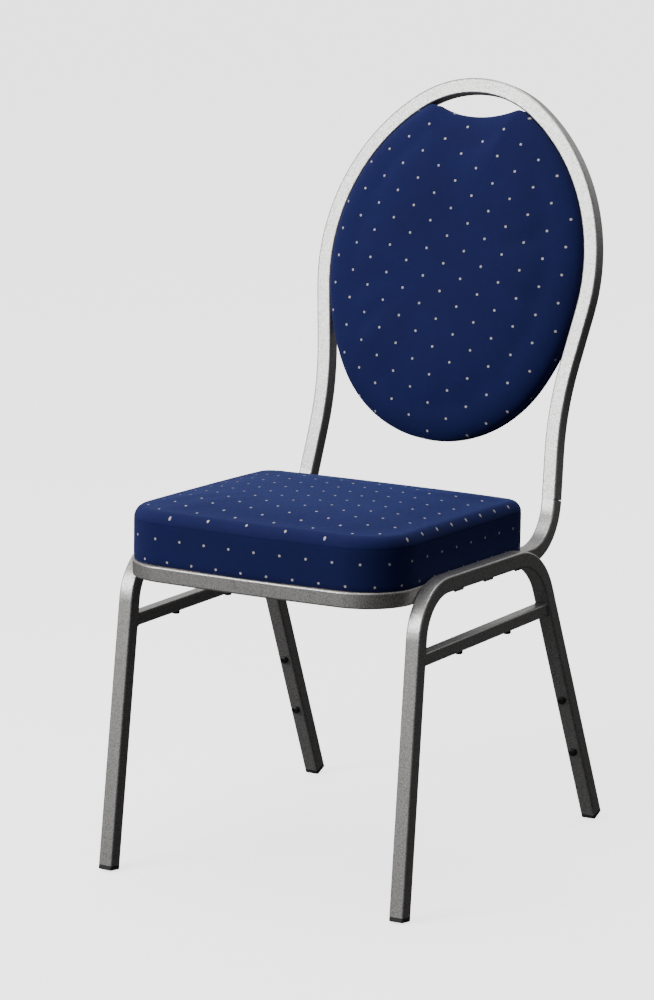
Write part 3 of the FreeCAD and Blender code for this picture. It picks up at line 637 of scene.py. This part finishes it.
def back_cushion(cloth):
    outline, middle = back_outline()
    low, high = turned_box("back_pad", BACK_TURN)
    seam = high.y
    front = low.y
    # rings forward from the rear seam: (inset, depth)
    profile = [(0.012, seam), (0.002, seam), (0.0, seam - 0.0008)]
    wall_end = front + BACK_ROUND_RISE
    for number in range(1, BACK_WALL_RINGS + 1):
        depth = seam + (wall_end - seam) * number / BACK_WALL_RINGS
        profile.append((-BACK_OVER * number / BACK_WALL_RINGS, depth))
    for degrees in BACK_ROUND_TURNS:
        turn = math.radians(degrees)
        inset = BACK_ROUND_REACH * (1 - math.cos(turn)) - BACK_OVER
        profile.append((inset, wall_end - BACK_ROUND_RISE * math.sin(turn)))
    rings = [shrunk(outline, middle, inset) for inset, _ in profile]
    depths = [depth for _, depth in profile]
    rim = rings[-1]
    for share in BACK_FRONT_RINGS:
        rings.append([middle + (p - middle) * share for p in rim])
        depths.append(front)
    points = [Vector((p.x, y, p.y)) for ring, y in zip(rings, depths) for p in ring]
    faces = ring_faces(len(rings), BACK_RING)
    centre_fan(points, faces, (len(rings) - 1) * BACK_RING, BACK_RING)
    closed = faces + [tuple(reversed(range(BACK_RING)))]

    shaped = [Vector(point) for point in points]
    grip = seam - HELD_RIM
    surface = inflated(points, closed, lambda p: 1.0 if p.y > grip else 0.0, BACK_CAP)
    shaped = fitted(points, faces, surface, BACK_CAP, BACK_PASSES)
    for index, point in enumerate(points):
        free = smooth_step(seam - point.y, 4 * MM, 24 * MM)
        shaped[index] = point.lerp(shaped[index], free)

    flat = [Vector(p) for p in points]
    placed = [BACK_TURN @ point for point in shaped]
    piece = new_object("back_cushion", placed, closed, cloth)

    def place_of(face, vertex):
        point = flat[vertex]
        out = Vector((point.x, point.z)) - middle
        over = max(point.y - wall_end, 0.0)
        if out.length > 0:
            out += out.normalized() * over
        return out.x, out.y + middle.y - low.z

    add_cloth_map(piece, place_of)
    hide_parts("back_pad")
    return piece


def back_cover(cloth):
    """The rear of the back: a thin padded cover with a rolled edge."""
    outline, middle = back_outline()
    low, high = turned_box("back_panel", BACK_TURN)
    seam, rear = low.y, high.y
    # rings rearward from the seam: (inset, depth)
    profile = [(12 * MM, seam), (1 * MM, seam), (0.0, seam + 1 * MM), (0.0, rear - COVER_EDGE)]
    for degrees in (30, 60, 90):
        turn = math.radians(degrees)
        inset = COVER_EDGE * (1 - math.cos(turn))
        profile.append((inset, rear - COVER_EDGE * (1 - math.sin(turn))))
    profile += [(inset, rear + rise) for inset, rise in COVER_SWELL]
    points = []
    for inset, depth in profile:
        for p in shrunk(outline, middle, inset):
            points.append(Vector((p.x, depth, p.y)))
    faces = ring_faces(len(profile), BACK_RING)
    centre_fan(points, faces, (len(profile) - 1) * BACK_RING, BACK_RING)
    closed = faces + [tuple(reversed(range(BACK_RING)))]
    closed = [tuple(reversed(face)) for face in closed]
    placed = [BACK_TURN @ point for point in points]
    piece = new_object("back_cover", placed, closed, cloth)

    def place_of(face, vertex):
        point = points[vertex]
        return point.x, point.z - low.z

    add_cloth_map(piece, place_of)
    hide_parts("back_panel")
    return piece


# a direction that no path here runs along, so that it always gives a side direction
SLANT = Vector((0.123, 0.456, 0.88))
LUMP_TURN = 2.2
END_TAPER = 0.4


def tube_along(name, path, radius, material, closed=True, sides=8, lump=0.0):
    """A round cord or weld bead along a path; a lump makes its radius swell and sink."""
    points = []
    count = len(path)
    for index, point in enumerate(path):
        before = path[index - 1] if closed or index else path[0]
        after = path[(index + 1) % count] if closed or index < count - 1 else path[-1]
        along = (after - before).normalized()
        side = along.cross(SLANT).normalized()
        other = along.cross(side)
        thick = radius * (1 + lump * math.sin(index * LUMP_TURN))
        if not closed and index in (0, count - 1):
            thick *= END_TAPER
        for number in range(sides):
            turn = 2 * math.pi * number / sides
            points.append(point + (side * math.cos(turn) + other * math.sin(turn)) * thick)
    faces = ring_faces(count, sides)
    if closed:
        last = (count - 1) * sides
        for number in range(sides):
            after = (number + 1) % sides
            faces.append((last + number, last + after, after, number))
    else:
        faces.append(tuple(reversed(range(sides))))
        faces.append(tuple(range((count - 1) * sides, count * sides)))
    return new_object(name, points, faces, material)


PIPING_RADIUS = 1.6 * MM
PIPING_OUT = 0.6 * MM


def back_piping(material):
    """A thin cord round the back where the front cushion meets the rear cover."""
    outline, _ = back_outline()
    seam = turned_box("back_pad", BACK_TURN)[1].y
    normals = outward(outline)
    path = [
        BACK_TURN @ Vector((p.x + n.x * PIPING_OUT, seam, p.y + n.y * PIPING_OUT))
        for p, n in zip(outline, normals)
    ]
    return tube_along("back_piping", path, PIPING_RADIUS, material)


# ---------------------------------------------------------------- welds and staples

BEAD = 1.6 * MM
BAR_CORNER = 2.0 * MM
BEAD_POINTS = 64
TUBE_HALF = 10 * MM
STRETCHER_HALF = 8 * MM
END_BAND = 9 * MM
REAR_LEG_LEAN = 21.35
FRONT_LEG_LEAN = -8.6
RAIL_BEAD = 2 * MM
RAIL_BEAD_STARTS = (-150 * MM, -75 * MM, 5 * MM)
RAIL_BEAD_STEP = 3 * MM
SEAM_BEAD = 0.5 * MM
SEAM_IN = 9.9 * MM


def ring_weld(name, centre, across, up, half, material):
    """A lumpy bead round the end of a square bar: half is half its width each way."""
    corners = [(x * half, y * half, BAR_CORNER) for x, y in ((-1, -1), (1, -1), (1, 1), (-1, 1))]
    points, _ = resample(rounded_polygon(corners, 4), BEAD_POINTS)
    path = [centre + across * p.x + up * p.y for p in points]
    return tube_along(name, path, BEAD, material, lump=0.18)


def end_plane(points, axis_of, highest):
    """The middle of the vertices at one end of a bar, the highest or lowest by a measure."""
    best = max(axis_of(p) for p in points) if highest else min(axis_of(p) for p in points)
    close = [p for p in points if abs(axis_of(p) - best) < END_BAND]
    return sum(close, Vector()) / len(close)


def stretcher_welds(material):
    for hand in ("left", "right"):
        points = [v.co for v in NODES["side_stretcher_" + hand].data.vertices]
        for where, highest in (("rear", True), ("front", False)):
            spot = end_plane(points, lambda p: p.y, highest)
            lean = math.radians(REAR_LEG_LEAN if highest else FRONT_LEG_LEAN)
            up = Vector((0, -math.sin(lean), math.cos(lean)))
            name = f"weld_stretcher_{where}_{hand}"
            ring_weld(name, spot, Vector((1, 0, 0)), up, STRETCHER_HALF, material)


def crossbar_welds(material):
    low, high = turned_box("seat_crossbar", SEAT_TURN)
    middle = (low + high) / 2
    for hand, x in (("left", low.x), ("right", high.x)):
        spot = SEAT_TURN @ Vector((x, middle.y, middle.z))
        across = SEAT_TURN @ Vector((0, 1, 0))
        up = SEAT_TURN @ Vector((0, 0, 1))
        ring_weld("weld_crossbar_" + hand, spot, across, up, TUBE_HALF, material)


def rail_welds(material):
    """Three short beads a side where the leg frame's rail lies against the seat frame, and the
    seam where the front rail meets the hoop's side arms."""
    low, high = turned_box("seat_front_rail", SEAT_TURN)
    for hand, sign in (("left", -1), ("right", 1)):
        side = sign * (high.x + 0.3 * MM)
        for number, start in enumerate(RAIL_BEAD_STARTS):
            path = []
            for step in range(9):
                spot = Vector((side, start + step * RAIL_BEAD_STEP, low.z + 0.5 * MM))
                path.append(SEAT_TURN @ spot)
            name = f"weld_rail_{hand}_{number}"
            tube_along(name, path, RAIL_BEAD, material, False, 8, 0.2)
        joint = Vector((sign * (high.x - TUBE_HALF), high.y, high.z - TUBE_HALF))
        across = SEAT_TURN @ Vector((1, 0, 0))
        up = SEAT_TURN @ Vector((0, 0, 1))
        outline = rounded_polygon([(-1, -1, 0.25), (1, -1, 0.25), (1, 1, 0.25), (-1, 1, 0.25)], 4)
        points, _ = resample([p * SEAM_IN for p in outline], BEAD_POINTS)
        path = [SEAT_TURN @ joint + across * p.x + up * p.y for p in points]
        tube_along("seam_rail_" + hand, path, SEAM_BEAD, material, lump=0.3)


STAPLE_IN = 26 * MM
STAPLE_PITCH = 27 * MM
STAPLE_WIRE = 0.35 * MM
# a staple's path from leg to leg, as (along, up) in millimetres
STAPLE_PATH = ((-5, 0.5), (-4.6, -0.1), (0, -0.15), (4.6, -0.1), (5, 0.5))


def staples(material):
    """Wire staples under the seat board, where the cover is turned in and fixed."""
    low, high = turned_box("seat_board", SEAT_TURN)
    inside = STAPLE_IN
    under = low.z - STAPLE_WIRE
    spots = []
    for index in range(11):
        x = low.x + inside + (high.x - low.x - 2 * inside) * index / 10
        spots.append((x, high.y - 7 * MM, 0.0))
    for index in range(9):
        y = low.y + 60 * MM + STAPLE_PITCH * index
        for x in (low.x + inside - 6 * MM, high.x - inside + 6 * MM):
            spots.append((x, y, math.pi / 2))
    for number, (x, y, turn) in enumerate(spots):
        path = []
        for along, rise in STAPLE_PATH:
            flat = Vector((math.cos(turn), math.sin(turn), 0)) * along * MM
            path.append(SEAT_TURN @ (Vector((x, y, under + rise * MM)) + flat))
        tube_along(f"staple_{number}", path, STAPLE_WIRE, material, False, 6)


# ---------------------------------------------------------------- materials on the CAD pieces


def dress_cad():
    coat = hammertone()
    looks = {
        "frame_paint": coat,
        "foot_plastic": moulded("foot_plastic", 0.03, 1100.0, 0.5),
        "peg_rubber": moulded("peg_rubber", 0.012, 900.0, 0.38),
        "plywood": birch_plywood(),
        "fixings": zinc(),
    }
    for part in frame["record"]["subparts"]:
        look = looks.get(part["material_slot"])
        if look is None:
            continue
        mesh = NODES[part["node"]].data
        mesh.materials.clear()
        mesh.materials.append(look)
    return looks


# ---------------------------------------------------------------- studio


def area_light(name, place, target, size, power):
    data = bpy.data.lights.new(name, "AREA")
    data.shape = "RECTANGLE"
    data.size, data.size_y = size
    data.energy = power
    lamp = bpy.data.objects.new(name, data)
    bpy.context.scene.collection.objects.link(lamp)
    lamp.location = place
    lamp.rotation_mode = "QUATERNION"
    lamp.rotation_quaternion = (Vector(target) - Vector(place)).to_track_quat("-Z", "Y")


def stage_sheet(name, points, material):
    mesh = bpy.data.meshes.new(name)
    mesh.from_pydata(points, [], [tuple(range(len(points)))])
    piece = bpy.data.objects.new(name, mesh)
    bpy.context.scene.collection.objects.link(piece)
    mesh.materials.append(material)
    return piece


def floor_paint():
    paint = Shader("pale_floor")
    where = paint.place()
    cloud = paint.noise(where, 3.0, 4.0)
    tone = paint.mix(cloud, grey(0.86), grey(0.9))
    return paint.set(
        Base_Color=tone,
        Roughness=0.75,
        Specular_IOR_Level=0.1,
        Emission_Color=grey(1.0),
        Emission_Strength=2.2,
    )


def backdrop(reach):
    """A bright round wall behind the floor, for the camera alone."""
    paint = Shader("backdrop")
    cloud = paint.noise(paint.place(), 0.4, 2.0)
    tone = paint.mix(cloud, grey(0.97), grey(1.0))
    paint.set(Base_Color=grey(0.0), Emission_Color=tone, Emission_Strength=6.0, Roughness=1.0)
    bend = bmesh.new()
    bmesh.ops.create_icosphere(bend, subdivisions=4, radius=reach * 1.3)
    bmesh.ops.reverse_faces(bend, faces=bend.faces)
    mesh = bpy.data.meshes.new("backdrop")
    bend.to_mesh(mesh)
    bend.free()
    piece = bpy.data.objects.new("backdrop", mesh)
    bpy.context.scene.collection.objects.link(piece)
    mesh.materials.append(paint.material)
    return piece


# how the room's light fades along an axis: (axis, from, to, level before, level after)
ROOM_FADES = (("Z", -0.3, 0.4, 0.06, 0.72), ("X", 0.0, 0.7, 1.0, 0.22))


def soft_room(tree, colour):
    """The light that comes from all round: strong from above, weak from below and from the right."""
    where = tree.nodes.new("ShaderNodeTexCoord").outputs["Generated"]
    parts = tree.nodes.new("ShaderNodeSeparateXYZ")
    tree.links.new(where, parts.inputs[0])
    levels = []
    for axis, low, high, to_low, to_high in ROOM_FADES:
        fade = tree.nodes.new("ShaderNodeMapRange")
        fade.interpolation_type = "SMOOTHSTEP"
        tree.links.new(parts.outputs[axis], fade.inputs["Value"])
        fade.inputs["From Min"].default_value = low
        fade.inputs["From Max"].default_value = high
        fade.inputs["To Min"].default_value = to_low
        fade.inputs["To Max"].default_value = to_high
        levels.append(fade.outputs["Result"])
    both = tree.nodes.new("ShaderNodeMath")
    both.operation = "MULTIPLY"
    tree.links.new(levels[0], both.inputs[0])
    tree.links.new(levels[1], both.inputs[1])
    tree.links.new(both.outputs[0], colour)


FLOOR_REACH = 30.0
LIT_POINT = (0, 0, 0.5)
# (name, place, size, watts)
LIGHTS = (
    ("key", (-1.5, -2.6, 1.9), (1.5, 1.5), 68.0),
    ("top", (-0.3, -0.3, 3.2), (2.0, 2.0), 38.0),
)


def studio():
    world = bpy.context.scene.world or bpy.data.worlds.new("studio")
    bpy.context.scene.world = world
    world.use_nodes = True
    background = world.node_tree.nodes["Background"]
    soft_room(world.node_tree, background.inputs["Color"])
    background.inputs["Strength"].default_value = 1.0

    reach = FLOOR_REACH
    corners = [(-reach, -reach, 0), (reach, -reach, 0), (reach, reach, 0), (-reach, reach, 0)]
    floor = stage_sheet("floor", corners, floor_paint())
    floor.visible_diffuse = False
    floor.visible_glossy = False
    wall = backdrop(reach)
    wall.visible_diffuse = False
    wall.visible_glossy = False
    wall.visible_shadow = False

    for name, place, size, power in LIGHTS:
        area_light(name, place, LIT_POINT, size, power)


CAMERA_TURN = 31.03
CAMERA_HEIGHT = 12.74
CAMERA_ROLL = -0.46
CAMERA_PLACE = (2.6531, -4.517, 1.6249)
LENS = 153.02


def camera():
    """The viewpoint of the picture, as a place, a turn, a height and a roll round the lens."""
    turn = math.radians(CAMERA_TURN)
    height = math.radians(CAMERA_HEIGHT)
    roll = math.radians(CAMERA_ROLL)
    flat = math.cos(height)
    back = Vector((math.sin(turn) * flat, -math.cos(turn) * flat, math.sin(height)))
    right = (-back).cross(Vector((0, 0, 1))).normalized()
    up = back.cross(right)
    side = right * math.cos(roll) + up * math.sin(roll)
    above = up * math.cos(roll) - right * math.sin(roll)
    data = bpy.data.cameras.new("camera")
    data.lens = LENS
    data.sensor_width = 36.0
    data.clip_start = 0.1
    data.clip_end = 60.0
    eye = bpy.data.objects.new("camera", data)
    bpy.context.scene.collection.objects.link(eye)
    matrix = Matrix((side, above, back)).transposed().to_4x4()
    matrix.translation = Vector(CAMERA_PLACE)
    eye.matrix_world = matrix
    bpy.context.scene.camera = eye


# ---------------------------------------------------------------- build

looks = dress_cad()
across = (DOT_STEP, 2 * DOT_ROWS)
upright = (2 * DOT_ROWS, DOT_STEP)
wall_cloth = dotted_fabric("seat_wall_cloth", across, (-6 * MM, 6.5 * MM))
top_cloth = dotted_fabric("seat_top_cloth", upright, (-2.5 * MM, -132 * MM))
back_cloth = dotted_fabric("back_cloth", upright, (-1.5 * MM, 224.5 * MM))
seat_cushion(wall_cloth, top_cloth)
back_cushion(back_cloth)
back_cover(back_cloth)
back_piping(back_cloth)
beads = weld_paint()
stretcher_welds(beads)
crossbar_welds(beads)
rail_welds(beads)
staples(looks["fixings"])
studio()
camera()
